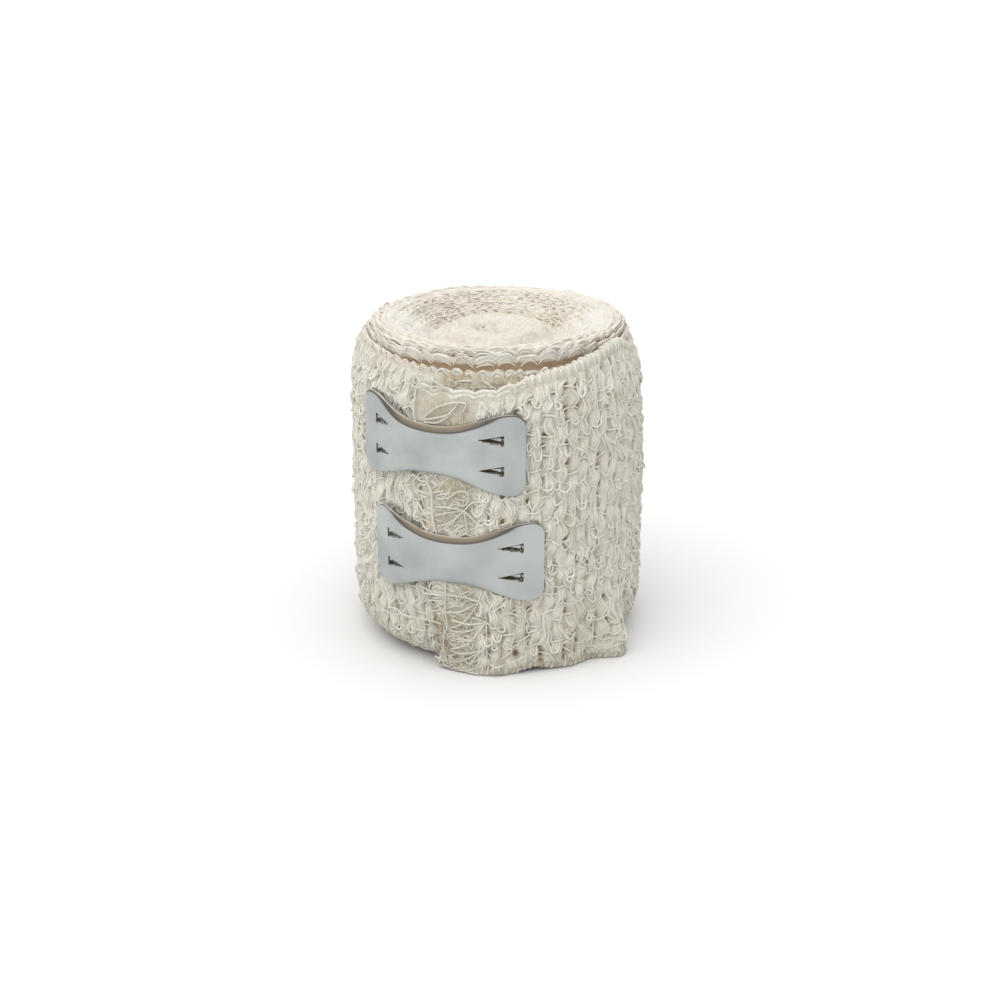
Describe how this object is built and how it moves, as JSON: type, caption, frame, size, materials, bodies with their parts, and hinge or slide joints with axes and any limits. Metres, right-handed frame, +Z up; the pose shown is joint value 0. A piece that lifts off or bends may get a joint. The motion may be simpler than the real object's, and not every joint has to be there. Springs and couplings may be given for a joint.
{
  "type": "crepe bandage roll",
  "caption": "Rolled cotton crepe bandage standing on its end, its frayed loose end held down by bow-tie shaped aluminium clips.",
  "frame": {"origin": "on the surface that the roll stands on, under the middle of the whole part's box", "axes": "+Z up along the axis of the roll, -Y towards the front, where the clips and the cut end are"},
  "size_m": [0.059, 0.0618, 0.0664],
  "materials": {
    "crepe_cloth": "unbleached cotton crepe, matt and loopy",
    "clip_metal": "pressed, satin"
  },
  "bodies": {
    "root": {"bandage_roll": "crepe_cloth", "loose_end": "crepe_cloth", "clip_upper": "clip_metal", "clip_lower": "clip_metal"}
  },
  "joints": []
}
